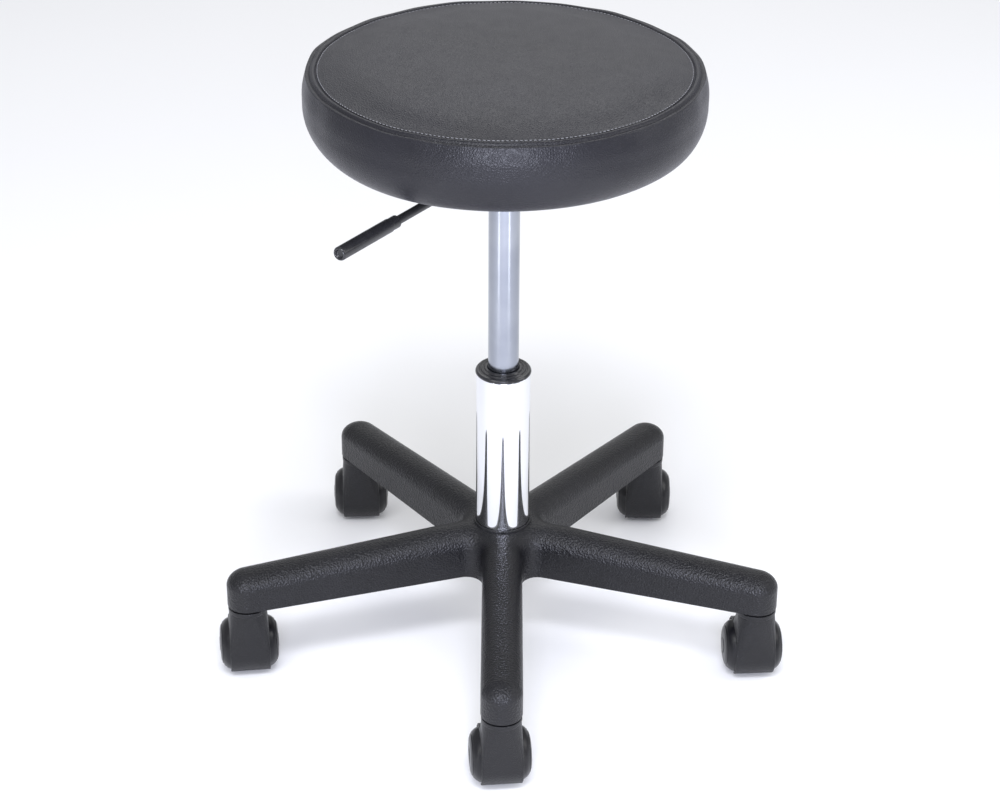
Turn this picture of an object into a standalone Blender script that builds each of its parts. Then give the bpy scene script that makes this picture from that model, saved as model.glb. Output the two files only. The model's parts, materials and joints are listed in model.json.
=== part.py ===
"""Adjustable swivel stool: a round padded seat on a gas lift, a five-arm base and five twin-wheel casters.

Units are metres, +Z is up, the floor is z = 0 and the seat is at its highest.
The origin is the middle of the footprint. The column stands a little behind it, because one arm
points straight to the front (-Y) and the wheels trail behind their pivots.
"""
import math

import bmesh
import bpy
from mathutils import Matrix, Vector

# ---------------------------------------------------------------- driving dimensions
GAP = 0.0003                 # clearance left between touching pieces
ARMS = 5
ARM_STEP = math.tau / ARMS
FRONT = math.radians(270)    # direction of the front arm
PIVOT_R = 0.2475             # column axis to caster pivot
ARM_HALF = 0.0185            # half width of an arm
ARM_BOTTOM = 0.076
HUB_TOP = 0.1225
TIP_TOP = 0.110
CROTCH_FILLET = 0.015        # plan radius between neighbouring arms
ARM_ROUND = 0.0135           # rounding of an arm's upper edges
SLOPE_START = 0.060          # the arms slope down from here outwards

WHEEL_R = 0.025
WHEEL_SIDES = 24
WHEEL_IN = 0.0066            # wheel's inner face from the middle of the caster
WHEEL_OUT = 0.0280           # wheel's outer face from the middle of the caster
TRAIL = 0.0120               # axle behind the pivot
HOOD_R = 0.0272
HOOD_HALF = 0.0185
WELL_R = 0.0257              # wheel well inside the hood
WEB_HALF = 0.0060            # middle web between the two wheels
NECK_R = 0.0180
NECK_TOP = 0.0745
HOOD_BOTTOM = 0.0042
CASTER_YAW = [math.radians(a) for a in (6, 4, -1, 3, 8)]   # front, right, back right, back left, left

TUBE_R = 0.025
TUBE_WALL = 0.0015
TUBE_BOTTOM = 0.0700
TUBE_TOP = 0.2795
LIFT_R = 0.014               # gas cylinder
LIFT_BOTTOM = 0.2075
LIFT_TOP = 0.478
ROD_R = 0.005

SEAT_R = 0.1750              # widest part of the side band
SEAM_R = 0.1718
SEAT_TOP = 0.580
SEAM_Z = 0.5745
SEAT_BOTTOM = 0.5050
EDGE_ROUND = 0.040           # rounding of the lower edge
EDGE_START, EDGE_SWEEP, EDGE_STEPS = 12, 102, 5      # that rounding's arc, in degrees
BULGE, BULGE_DROP = 0.0006, 0.014      # the side band's upper part, inside its widest place
SKIN = 0.0012                # leather thickness
BOARD_R = 0.150
BOARD_Z = (0.5068, 0.5188)
PLATE_Z = (0.5015, 0.5040)
PLATE_HALF = 0.070
SCREW_AT = 0.055             # fixing screws, from the plate's middle lines

ROUND, MEDIUM, SMALL = 36, 28, 12      # sides of turned pieces, by size

LEVER_DIR = math.radians(235.5)
LEVER_Z = 0.490
LEVER_R = 0.00375
LEVER_PIVOT = 0.030          # pivot pin, from the column axis
GRIP_START, GRIP_END, GRIP_R = 0.158, 0.236, 0.0060

# the footprint's middle is the origin, so the column axis stands this far behind it
FOOT_FRONT = PIVOT_R + ARM_HALF
FOOT_BACK = PIVOT_R * math.cos(ARM_STEP / 2) + TRAIL + WHEEL_R
AXIS_Y = (FOOT_FRONT - FOOT_BACK) / 2


# ---------------------------------------------------------------- scene and materials
def clear_scene():
    for obj in list(bpy.data.objects):
        bpy.data.objects.remove(obj, do_unlink=True)


def new_collection(name):
    made = bpy.data.collections.new(name)
    bpy.context.scene.collection.children.link(made)
    return made


def new_material(name, color, roughness, metallic=0.0):
    made = bpy.data.materials.new(name)
    made.use_nodes = True
    shader = made.node_tree.nodes["Principled BSDF"]
    shader.inputs["Base Color"].default_value = (*color, 1.0)
    shader.inputs["Roughness"].default_value = roughness
    shader.inputs["Metallic"].default_value = metallic
    return made


clear_scene()
PARTS = new_collection("swivel_stool")
CUTTERS = new_collection("cutters")
LEATHER = new_material("black_leather", (0.028, 0.028, 0.032), 0.45)
FOAM = new_material("foam", (0.75, 0.70, 0.55), 0.9)
PLYWOOD = new_material("plywood", (0.45, 0.30, 0.16), 0.7)
CLOTH = new_material("dust_cloth", (0.02, 0.02, 0.02), 0.95)
NYLON = new_material("black_nylon", (0.022, 0.022, 0.025), 0.55)
CHROME = new_material("chrome", (0.85, 0.86, 0.88), 0.08, 1.0)
SATIN = new_material("satin_steel", (0.62, 0.63, 0.66), 0.28, 1.0)
BLACK_STEEL = new_material("black_steel", (0.03, 0.03, 0.032), 0.4, 0.6)
RUBBER = new_material("rubber", (0.015, 0.015, 0.015), 0.85)


# ---------------------------------------------------------------- modelling helpers
def add_object(name, mesh, material=None, parent=None, local=Matrix.Identity(4)):
    """Links a mesh as a named part, placed in its parent's frame."""
    obj = bpy.data.objects.new(name, mesh)
    PARTS.objects.link(obj)
    obj.parent = parent
    obj.matrix_basis = local
    if material:
        mesh.materials.clear()
        mesh.materials.append(material)
    return obj


def axis_empty(name, location, yaw=0.0, parent=None):
    """An empty on a joint's axis, which the moving pieces are parented to."""
    empty = bpy.data.objects.new(name, None)
    empty.empty_display_size = 0.02
    PARTS.objects.link(empty)
    empty.parent = parent
    empty.location = location
    empty.rotation_euler.z = yaw
    return empty


def settle(obj):
    """Turns the modifiers into mesh and shades round faces smooth."""
    bpy.context.view_layer.update()
    mesh = bpy.data.meshes.new_from_object(obj.evaluated_get(bpy.context.evaluated_depsgraph_get()))
    obj.modifiers.clear()
    obj.data = mesh
    mesh.shade_smooth()
    mesh.set_sharp_from_angle(angle=math.radians(35))
    return obj


def turned(name, profile, material, parent=None, sides=32, local=Matrix.Identity(4), ring=True):
    """Turns a profile of (radius, height) round Z. It runs down the outer side, top to bottom.

    A ring closes on itself, and a solid's profile begins and ends on the axis.
    """
    mesh = bpy.data.meshes.new(name)
    count = len(profile)
    edges = [(i, i + 1) for i in range(count - 1)]
    if ring:
        edges.append((count - 1, 0))
    mesh.from_pydata([(r, 0.0, z) for r, z in profile], edges, [])
    obj = add_object(name, mesh, material, parent, local)
    screw = obj.modifiers.new("Turn", "SCREW")
    screw.steps = sides
    screw.render_steps = sides
    screw.use_merge_vertices = True
    screw.merge_threshold = 0.0001
    return settle(obj)


def arc(centre_r, centre_z, radius, start, end, steps):
    """Points of an arc in (radius, height), angles in degrees."""
    points = []
    for i in range(steps + 1):
        a = math.radians(start + (end - start) * i / steps)
        points.append((centre_r + radius * math.cos(a), centre_z + radius * math.sin(a)))
    return points


def box_mesh(name, low, high):
    bm = bmesh.new()
    size = Vector(high) - Vector(low)
    middle = (Vector(high) + Vector(low)) / 2
    bmesh.ops.create_cube(bm, size=1.0, matrix=Matrix.Translation(middle) @ Matrix.Diagonal((*size, 1.0)))
    mesh = bpy.data.meshes.new(name)
    bm.to_mesh(mesh)
    bm.free()
    return mesh


def cylinder_mesh(name, radius, low, high, sides=32, top_radius=None):
    """A capped cylinder or cone along Z between two heights."""
    bm = bmesh.new()
    bmesh.ops.create_cone(bm, cap_ends=True, segments=sides, radius1=radius,
                          radius2=top_radius or radius, depth=high - low,
                          matrix=Matrix.Translation((0, 0, (low + high) / 2)))
    mesh = bpy.data.meshes.new(name)
    bm.to_mesh(mesh)
    bm.free()
    return mesh


def combine(target, mesh, operation, local=Matrix.Identity(4)):
    """Joins a mesh to a part, or cuts it away, and keeps the cutter hidden."""
    cutter = bpy.data.objects.new("cut_" + target.name, mesh)
    CUTTERS.objects.link(cutter)
    cutter.parent = target.parent
    cutter.matrix_basis = target.matrix_basis @ local
    cutter.hide_render = True
    cutter.display_type = "WIRE"
    boolean = target.modifiers.new(operation.title(), "BOOLEAN")
    boolean.operation = operation
    boolean.solver = "EXACT"
    boolean.object = cutter
    return target


def joined(name, meshes):
    """One mesh holding several separate bodies, for use as a cutter."""
    bm = bmesh.new()
    for mesh, local in meshes:
        mesh.transform(local)
        bm.from_mesh(mesh)
    made = bpy.data.meshes.new(name)
    bm.to_mesh(made)
    bm.free()
    return made


ALONG_X = Matrix.Rotation(math.pi / 2, 4, "Y")      # turns Z to X
ALONG_Y = Matrix.Rotation(-math.pi / 2, 4, "X")     # turns Z to Y


# ---------------------------------------------------------------- five-arm base
def arm_top(r):
    """Height of an arm's crest at a distance from the column."""
    fall = (HUB_TOP - TIP_TOP) / (PIVOT_R + ARM_HALF - SLOPE_START)
    return HUB_TOP - fall * max(0.0, r - SLOPE_START)


def star_outline():
    """Plan of the base: round arm ends, straight sides and a fillet between neighbours."""
    points = []
    fillet_r = (ARM_HALF + CROTCH_FILLET) / math.sin(ARM_STEP / 2)
    for k in range(ARMS):
        direction = FRONT + k * ARM_STEP
        tip = [(PIVOT_R + ARM_HALF * math.cos(a), ARM_HALF * math.sin(a))
               for a in (math.radians(-90 + 22.5 * i) for i in range(9))]
        side = [(PIVOT_R * share + 0.048 * (1 - share), ARM_HALF) for share in (0.66, 0.33)]
        turn = Matrix.Rotation(direction, 2)
        opposite = [(x, -y) for x, y in reversed(side)]
        points += [turn @ Vector(p) for p in opposite + tip + side]
        bisector = direction + ARM_STEP / 2
        centre = Vector((math.cos(bisector), math.sin(bisector))) * fillet_r
        sweep = math.pi - ARM_STEP
        for i in range(7):
            a = bisector + math.pi + sweep * (0.5 - i / 6)
            points.append(centre + Vector((math.cos(a), math.sin(a))) * CROTCH_FILLET)
    return points


def star_mesh():
    """The outline raised to a slab, its upper edge rounded and its top sloped outwards."""
    bm = bmesh.new()
    face = bm.faces.new([bm.verts.new((p.x, p.y, ARM_BOTTOM)) for p in star_outline()])
    raised = bmesh.ops.extrude_face_region(bm, geom=[face])
    top = [v for v in raised["geom"] if isinstance(v, bmesh.types.BMVert)]
    bmesh.ops.translate(bm, verts=top, vec=(0, 0, HUB_TOP - ARM_BOTTOM))
    rim = [e for e in bm.edges if all(v in set(top) for v in e.verts)]
    bmesh.ops.bevel(bm, geom=rim, offset=ARM_ROUND, segments=4, profile=0.5,
                    affect="EDGES", clamp_overlap=False)
    bmesh.ops.recalc_face_normals(bm, faces=bm.faces)
    for v in bm.verts:
        share = (v.co.z - ARM_BOTTOM) / (HUB_TOP - ARM_BOTTOM)
        v.co.z = ARM_BOTTOM + share * (arm_top(v.co.xy.length) - ARM_BOTTOM)
    mesh = bpy.data.meshes.new("star")
    bm.to_mesh(mesh)
    bm.free()
    return mesh


def pocket_meshes():
    """Hollows under the arms, three to an arm, with cross ribs between them."""
    start, end, rib, half, roof = 0.037, PIVOT_R - 0.014, 0.003, 0.0125, 0.0075
    length = (end - start - 2 * rib) / 3
    found = []
    for k in range(ARMS):
        turn = Matrix.Rotation(FRONT + k * ARM_STEP, 4, "Z")
        for i in range(3):
            low = start + i * (length + rib)
            high = low + length
            top = arm_top(high) - roof
            found.append((box_mesh("pocket", (low, -half, ARM_BOTTOM - 0.02), (high, half, top)), turn))
    return found


def socket_meshes():
    """Bores that take the caster stems."""
    found = []
    for k in range(ARMS):
        place = Matrix.Rotation(FRONT + k * ARM_STEP, 4, "Z") @ Matrix.Translation((PIVOT_R, 0, 0))
        found.append((cylinder_mesh("socket", 0.0058, ARM_BOTTOM - 0.02, 0.1002, SMALL), place))
    return found


def make_star_base(column):
    hub_low, lip_r, boss_r, bore = TUBE_BOTTOM, 0.0275, 0.0300, TUBE_R + GAP
    base = add_object("star_base", star_mesh(), NYLON, column)
    combine(base, joined("hollows", pocket_meshes() + socket_meshes()), "DIFFERENCE")
    combine(base, cylinder_mesh("bore", 0.0270, ARM_BOTTOM - 0.03, HUB_TOP + 0.03, MEDIUM), "DIFFERENCE")
    sleeve = turned("hub_sleeve", [(bore, HUB_TOP + 0.0012), (lip_r - 0.0006, HUB_TOP + 0.0012),
                                   (lip_r, HUB_TOP + 0.0006), (lip_r, HUB_TOP - 0.002),
                                   (boss_r, HUB_TOP - 0.004), (boss_r, hub_low), (bore, hub_low)],
                    NYLON, sides=MEDIUM)
    sleeve_mesh = sleeve.data
    bpy.data.objects.remove(sleeve)
    combine(base, sleeve_mesh, "UNION")
    return settle(base)


# ---------------------------------------------------------------- column and gas lift
def make_outer_tube(column):
    inner, floor, hole = TUBE_R - TUBE_WALL, TUBE_BOTTOM + 0.002, 0.0044
    turned("outer_tube", [(inner, TUBE_TOP), (TUBE_R, TUBE_TOP), (TUBE_R, 0.110), (TUBE_R - 0.0003, TUBE_BOTTOM),
                          (hole, TUBE_BOTTOM), (hole, floor), (inner, floor)], CHROME, column, MEDIUM)


def make_guide_bush(column):
    """Sleeve that guides the gas cylinder, with a stepped collar on the tube's end."""
    sleeve, bore, low = TUBE_R - TUBE_WALL - GAP, LIFT_R + 0.00035, 0.175
    base = TUBE_TOP + GAP
    turned("guide_bush", [(bore, base + 0.0052), (0.0170, base + 0.0052), (0.0176, base + 0.0046),
                          (0.0178, base + 0.0036), (0.0212, base + 0.0036), (0.0216, base + 0.0026),
                          (0.0246, base + 0.0026), (0.0256, base + 0.0017), (0.0256, base),
                          (sleeve, base), (sleeve, low), (bore, low)], NYLON, column, MEDIUM)


def make_bearing(column, rod):
    """Thrust bearing between the tube's floor and the rod's shoulder, with its two races."""
    floor = TUBE_BOTTOM + 0.002
    bore = 0.0044
    for name, parent, low, high, outer in (("bearing_race_lower", column, 0.0003, 0.0018, 0.0110),
                                           ("bearing_cage", rod, 0.0021, 0.0046, 0.0104),
                                           ("bearing_race_upper", rod, 0.0049, 0.0064, 0.0110)):
        turned(name, [(bore, floor + high), (outer, floor + high), (outer, floor + low), (bore, floor + low)],
               SATIN, parent, SMALL)


def make_piston_rod(rod):
    """Rod that stands in the tube: its neck passes the bearing and is held by a clip below."""
    neck, shoulder, foot = 0.0040, TUBE_BOTTOM + 0.0087, TUBE_BOTTOM - 0.0075
    seat, top = LIFT_BOTTOM + 0.0160, LIFT_BOTTOM + 0.0262
    groove_r, groove = 0.0033, (foot + 0.0019, foot + 0.0034)
    turned("piston_rod", [(0, top), (neck, top), (neck, seat), (ROD_R, seat), (ROD_R, shoulder), (neck, shoulder),
                          (neck, groove[1]), (groove_r, groove[1]), (groove_r, groove[0]), (neck, groove[0]),
                          (neck, foot), (0, foot)], SATIN, rod, SMALL, ring=False)
    for name, material, inner, outer, low, high in (
            ("piston_head", NYLON, neck + GAP, 0.0119, seat + GAP, seat + 0.0078),
            ("bump_stop", RUBBER, ROD_R + 0.0004, 0.0112, shoulder + GAP, shoulder + 0.0078),
            ("retaining_washer", SATIN, neck + GAP, 0.0095, TUBE_BOTTOM - 0.0020, TUBE_BOTTOM - GAP),
            ("retaining_clip", BLACK_STEEL, groove_r + GAP, 0.0075, groove[0] + GAP, groove[1] - GAP)):
        turned(name, [(inner, high), (outer, high), (outer, low), (inner, low)], material, rod, SMALL)


def make_gas_cylinder(seat):
    inner, roof, valve = LIFT_R - 0.0017, LIFT_TOP - 0.008, 0.0020
    turned("gas_cylinder", [(valve, LIFT_TOP), (0.0125, LIFT_TOP), (0.0134, LIFT_TOP - 0.0012),
                            (LIFT_R, 0.442), (LIFT_R, LIFT_BOTTOM + 0.001), (LIFT_R - 0.001, LIFT_BOTTOM),
                            (inner, LIFT_BOTTOM), (inner, roof), (valve, roof)], SATIN, seat, MEDIUM)
    low, high = LIFT_BOTTOM + 0.0010, LIFT_BOTTOM + 0.0110
    turned("rod_seal", [(ROD_R + GAP, high), (inner - GAP, high), (inner - GAP, low), (ROD_R + GAP, low)],
           RUBBER, seat, SMALL)


def make_valve_pin(pin):
    """Button on top of the gas cylinder that the lever presses."""
    top, head, shank = 0.4859, 0.0025, 0.0016
    turned("valve_release_pin", [(0, top), (head - 0.0005, top), (head, top - 0.0005), (head, 0.4822),
                                 (shank, 0.4822), (shank, 0.4640), (0, 0.4640)], SATIN, pin, SMALL, ring=False)


# ---------------------------------------------------------------- seat
def lower_edge(offset, steps):
    """Outline of the side band from its widest place round under the seat, moved inwards by offset."""
    radius = EDGE_ROUND - offset
    centre_r = SEAT_R - EDGE_ROUND
    centre_z = SEAT_BOTTOM + EDGE_ROUND
    return arc(centre_r, centre_z, radius, EDGE_START, EDGE_START - EDGE_SWEEP, steps)


def top_profile(drop):
    """The seat's top from the middle to the seam: flat in the middle and falling off to the rim."""
    flat, steps = 0.060, 4
    span = SEAM_R - drop - flat
    points = [(0.0, SEAT_TOP - drop)]
    for i in range(steps + 1):
        share = i / steps
        points.append((flat + span * share, SEAT_TOP - drop - (SEAT_TOP - SEAM_Z) * share ** 2))
    return points


def make_seat_cover(mechanism):
    outer, inner = top_profile(0.0), top_profile(SKIN)
    turned("seat_cover_top", outer + inner[::-1], LEATHER, mechanism, ROUND, ring=False)
    tuck = 0.128
    seam = (SEAM_R, SEAM_Z - SKIN - GAP)
    outside = [seam, (SEAT_R - BULGE, SEAM_Z - BULGE_DROP)] + lower_edge(0.0, EDGE_STEPS) + [(tuck, SEAT_BOTTOM)]
    inside = [(SEAM_R - SKIN, seam[1]), (SEAT_R - BULGE - SKIN, SEAM_Z - BULGE_DROP)]
    inside += lower_edge(SKIN, EDGE_STEPS) + [(tuck, SEAT_BOTTOM + SKIN)]
    turned("seat_cover_band", outside + inside[::-1], LEATHER, mechanism, ROUND)


def make_foam(mechanism):
    """Foam pad that wraps the board's edge and fills the cover."""
    inset = SKIN + GAP
    rim = BOARD_R + GAP
    radius, centre_r, centre_z = EDGE_ROUND - inset, SEAT_R - EDGE_ROUND, SEAT_BOTTOM + EDGE_ROUND
    facet_depth = radius * (1 - math.cos(math.radians(EDGE_SWEEP / EDGE_STEPS / 2)))
    rim_z = centre_z - math.sqrt(radius ** 2 - (rim - centre_r) ** 2) + facet_depth
    crown = top_profile(inset)
    side = [(SEAT_R - BULGE - inset, SEAM_Z - BULGE_DROP)] + lower_edge(inset, EDGE_STEPS)
    side = [p for p in side if p[0] > rim + 0.002]
    under = [(rim, rim_z), (rim, BOARD_Z[1] + GAP), (0.0, BOARD_Z[1] + GAP)]
    turned("foam_pad", crown + side + under, FOAM, mechanism, ROUND, ring=False)


def screw_places():
    return [(x * SCREW_AT, y * SCREW_AT) for x, y in ((1, 1), (-1, 1), (-1, -1), (1, -1))]


def make_board(mechanism):
    low, high = BOARD_Z
    flange_r, flange = 0.0098, 0.0016
    chamfer_r, chamfer_z = 0.015, 0.005      # the lower edge is eased where the cover turns under
    board = turned("seat_board", [(0, high), (BOARD_R, high), (BOARD_R, low + chamfer_z),
                                  (BOARD_R - chamfer_r, low), (0, low)], PLYWOOD, mechanism, ROUND, ring=False)
    holes = []
    for x, y in screw_places():
        place = Matrix.Translation((x, y, 0))
        holes.append((cylinder_mesh("hole", 0.0052, low - 0.005, high - flange / 2, SMALL), place))
        holes.append((cylinder_mesh("recess", flange_r, high - flange, high + 0.005, SMALL), place))
    for mesh, place in holes:
        combine(board, mesh, "DIFFERENCE", place)
    settle(board)


def make_dust_cloth(mechanism):
    low, high = 0.5043, 0.5053
    cloth = turned("dust_cloth", [(0, high), (0.1265, high), (0.1265, low), (0, low)],
                   CLOTH, mechanism, ROUND, ring=False)
    for x, y in screw_places():
        combine(cloth, cylinder_mesh("hole", 0.0036, low - 0.005, high + 0.005, SMALL), "DIFFERENCE",
                Matrix.Translation((x, y, 0)))
    settle(cloth)


def circle_spline(curve, x, y, radius):
    """A round outline in a flat curve, as four Bezier points."""
    spline = curve.splines.new("BEZIER")
    spline.bezier_points.add(3)
    spline.use_cyclic_u = True
    handle = radius * 0.5523
    for i, point in enumerate(spline.bezier_points):
        a = i * math.pi / 2
        out = Vector((math.cos(a), math.sin(a), 0))
        along = Vector((-out.y, out.x, 0)) * handle
        point.co = Vector((x, y, 0)) + out * radius
        point.handle_left = point.co - along
        point.handle_right = point.co + along


def make_seat_plate(mechanism):
    """Pressed square plate with round corners, four screw holes and a middle hole."""
    curve = bpy.data.curves.new("seat_plate", "CURVE")
    curve.dimensions = "2D"
    curve.fill_mode = "BOTH"
    curve.extrude = (PLATE_Z[1] - PLATE_Z[0]) / 2
    curve.resolution_u = 3
    corner, middle = 0.012, PLATE_HALF - 0.012
    spline = curve.splines.new("POLY")
    outline = []
    for i, (x, y) in enumerate(((1, 1), (-1, 1), (-1, -1), (1, -1))):
        outline += arc(x * middle, y * middle, corner, 90 * i, 90 * i + 90, 4)
    spline.points.add(len(outline) - 1)
    spline.use_cyclic_u = True
    for point, (x, y) in zip(spline.points, outline):
        point.co = (x, y, 0, 1)
    for x, y in screw_places():
        circle_spline(curve, x, y, 0.0034)
    circle_spline(curve, 0, 0, 0.012)
    flat = bpy.data.objects.new("seat_plate_outline", curve)
    PARTS.objects.link(flat)
    bpy.context.view_layer.update()
    mesh = bpy.data.meshes.new_from_object(flat.evaluated_get(bpy.context.evaluated_depsgraph_get()))
    bpy.data.objects.remove(flat)
    bm = bmesh.new()
    bm.from_mesh(mesh)
    bmesh.ops.remove_doubles(bm, verts=bm.verts, dist=0.00001)
    bm.to_mesh(mesh)
    bm.free()
    plate = add_object("seat_plate", mesh, BLACK_STEEL, mechanism,
                       Matrix.Translation((0, 0, (PLATE_Z[0] + PLATE_Z[1]) / 2)))
    settle(plate)


def make_taper_socket(mechanism):
    """Tapered cup that holds the gas cylinder's end, slotted on the lever's side."""
    low, high, flange = 0.4560, PLATE_Z[0] - GAP, 0.0025
    socket = turned("taper_socket", [(0.0142, high), (0.0260, high), (0.0260, high - flange),
                                     (0.0185, high - flange), (0.0180, high - flange - 0.0005), (0.0180, low),
                                     (0.0143, low), (0.0138, LIFT_TOP + 0.002)], BLACK_STEEL, mechanism, MEDIUM)
    combine(socket, box_mesh("slot", (0.005, -0.0048, 0.4842), (0.030, 0.0048, 0.4952)), "DIFFERENCE")
    settle(socket)


def make_lever_bracket(mechanism):
    """Folded bracket under the plate, with two ears that carry the lever's pivot pin."""
    low, high, sheet = 0.4835, PLATE_Z[0] - GAP, 0.002
    inner, outer, near, far = 0.0058, 0.0078, 0.0264, 0.0400
    bracket = add_object("lever_bracket", box_mesh("saddle", (near, -outer, high - sheet), (far, outer, high)),
                         BLACK_STEEL, mechanism)
    for side in (-1, 1):
        edges = sorted((side * inner, side * outer))
        ear = box_mesh("ear", (near, edges[0], low), (far - 0.002, edges[1], high - sheet / 2))
        combine(bracket, ear, "UNION")
    pin_hole = cylinder_mesh("pin_hole", 0.0023, -0.02, 0.02, SMALL)
    combine(bracket, pin_hole, "DIFFERENCE", Matrix.Translation((LEVER_PIVOT, 0, LEVER_Z)) @ ALONG_Y)
    settle(bracket)


def make_fasteners(mechanism):
    """Four screws from below, each with a tee nut let into the board's top."""
    head, shank, tip = (0.0055, 0.0036), 0.0030, 0.5160
    for i, (x, y) in enumerate(screw_places(), 1):
        place = Matrix.Translation((x, y, 0))
        seat = PLATE_Z[0] - GAP
        turned(f"seat_screw_{i}", [(0, tip), (shank - 0.0006, tip), (shank, tip - 0.0006), (shank, seat),
                                   (head[0], seat), (head[0], seat - 0.0012), (0.0036, seat - head[1]),
                                   (0.0022, seat - head[1]), (0.0022, seat - 0.0014), (0, seat - 0.0014)],
               SATIN, mechanism, SMALL, place, ring=False)
        top = BOARD_Z[1] - GAP
        turned(f"tee_nut_{i}", [(0.0033, top), (0.0093, top), (0.0093, top - 0.001), (0.0048, top - 0.001),
                                (0.0048, 0.5085), (0.0033, 0.5085)], SATIN, mechanism, SMALL, place)


# ---------------------------------------------------------------- release lever
def make_lever(lever):
    """Rod, grip and pivot pin, in a frame whose origin is the pivot and whose X runs outwards."""
    inner_end, outer_end = -LEVER_PIVOT - 0.004, GRIP_END - 0.012 - LEVER_PIVOT
    rod = add_object("lever_rod", cylinder_mesh("rod", LEVER_R, inner_end, outer_end, 20),
                     BLACK_STEEL, lever, ALONG_X)
    combine(rod, cylinder_mesh("pin_hole", 0.0023, -0.02, 0.02, SMALL), "DIFFERENCE", ALONG_X.inverted() @ ALONG_Y)
    settle(rod)
    start, end, bore = GRIP_START - LEVER_PIVOT, GRIP_END - LEVER_PIVOT, LEVER_R + GAP
    dish = 0.0012
    turned("lever_grip", [(0, end - dish), (GRIP_R - 0.0022, end - dish), (GRIP_R - 0.0016, end),
                          (GRIP_R - 0.0006, end), (GRIP_R, end - 0.0010), (GRIP_R, start + 0.010),
                          (GRIP_R - 0.0004, start + 0.009), (GRIP_R - 0.0004, start + 0.0005),
                          (GRIP_R - 0.0009, start), (bore, start), (bore, outer_end + 0.001),
                          (0, outer_end + 0.001)], NYLON, lever, 20, ALONG_X, ring=False)
    turned("lever_pivot_pin", [(0, 0.0095), (0.0019, 0.0095), (0.0019, -0.0095), (0, -0.0095)],
           SATIN, lever, SMALL, ALONG_Y, ring=False)


# ---------------------------------------------------------------- casters
def hood_mesh_cuts(hood):
    """Opens the wheel wells, the back, the underside, the axle bore and the stem bore."""
    for side in (-1, 1):
        edges = sorted((side * WEB_HALF, side * 0.04))
        well = cylinder_mesh("well", WELL_R, edges[0], edges[1], MEDIUM)
        combine(hood, well, "DIFFERENCE", Matrix.Translation((0, TRAIL, WHEEL_R)) @ ALONG_X)
    combine(hood, box_mesh("underside", (-0.05, -0.05, -0.02), (0.05, 0.06, HOOD_BOTTOM)), "DIFFERENCE")
    combine(hood, box_mesh("back", (-0.05, TRAIL + 0.010, -0.02), (0.05, 0.06, 0.036)), "DIFFERENCE")
    combine(hood, cylinder_mesh("axle_bore", 0.0033, -0.01, 0.01, SMALL), "DIFFERENCE",
            Matrix.Translation((0, TRAIL, WHEEL_R)) @ ALONG_X)
    combine(hood, cylinder_mesh("stem_bore", 0.0058, 0.0570, 0.09, SMALL), "DIFFERENCE")


def make_hood(name, swivel):
    """Hood over the front and top of both wheels, with the neck that turns under the arm."""
    hood = add_object(name, cylinder_mesh("drum", HOOD_R, -HOOD_HALF, HOOD_HALF, MEDIUM), NYLON, swivel,
                      Matrix.Translation((0, TRAIL, WHEEL_R)) @ ALONG_X)
    hood.data.transform(hood.matrix_basis)
    hood.matrix_basis = Matrix.Identity(4)
    neck_foot, shoulder, foot_r = 0.0280, 0.0460, 0.0150
    neck = turned("neck", [(0, NECK_TOP), (NECK_R, NECK_TOP), (NECK_R, shoulder), (foot_r, neck_foot), (0, neck_foot)],
                  NYLON, sides=MEDIUM, ring=False)
    neck_mesh = neck.data
    bpy.data.objects.remove(neck)
    combine(hood, neck_mesh, "UNION")
    hood_mesh_cuts(hood)
    return settle(hood)


def wheel_profile():
    """One wheel: flat inner face, flat tread, domed outer face and a blind bore for the axle."""
    tread = WHEEL_R / math.cos(math.pi / WHEEL_SIDES)      # the flats touch the floor
    bore, hub = 0.0033, 0.0250
    return [(0, WHEEL_OUT), (0.0165, WHEEL_OUT - 0.0014), (tread - 0.0030, WHEEL_OUT - 0.0046),
            (tread, WHEEL_OUT - 0.0100), (tread, WHEEL_IN + 0.0012), (tread - 0.0012, WHEEL_IN),
            (bore, WHEEL_IN), (bore, hub), (0, hub)]


def make_caster(number, column, yaw):
    direction = FRONT + (number - 1) * ARM_STEP
    place = (PIVOT_R * math.cos(direction), PIVOT_R * math.sin(direction), 0)
    swivel = axis_empty(f"caster_axis_{number}", place, yaw, column)
    make_hood(f"caster_hood_{number}", swivel)
    stem_top, stem_low, collar = 0.0985, 0.0573, 0.0752
    turned(f"caster_stem_{number}", [(0, stem_top), (0.0045, stem_top), (0.0055, stem_top - 0.0015),
                                     (0.0055, stem_low), (0, stem_low)], SATIN, swivel, SMALL, ring=False)
    axle_half = 0.0245
    wheels = axis_empty(f"axle_axis_{number}", (0, TRAIL, WHEEL_R), 0.0, swivel)
    turned(f"caster_axle_{number}", [(0, axle_half), (0.0030, axle_half), (0.0030, -axle_half), (0, -axle_half)],
           SATIN, wheels, SMALL, ALONG_X, ring=False)
    half_step = Matrix.Rotation(math.pi / WHEEL_SIDES, 4, "X")
    for name, turn in (("right", ALONG_X), ("left", Matrix.Rotation(math.pi, 4, "Z") @ ALONG_X)):
        turned(f"caster_wheel_{name}_{number}", wheel_profile(), NYLON, wheels, WHEEL_SIDES,
               half_step @ turn, ring=False)


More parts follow.
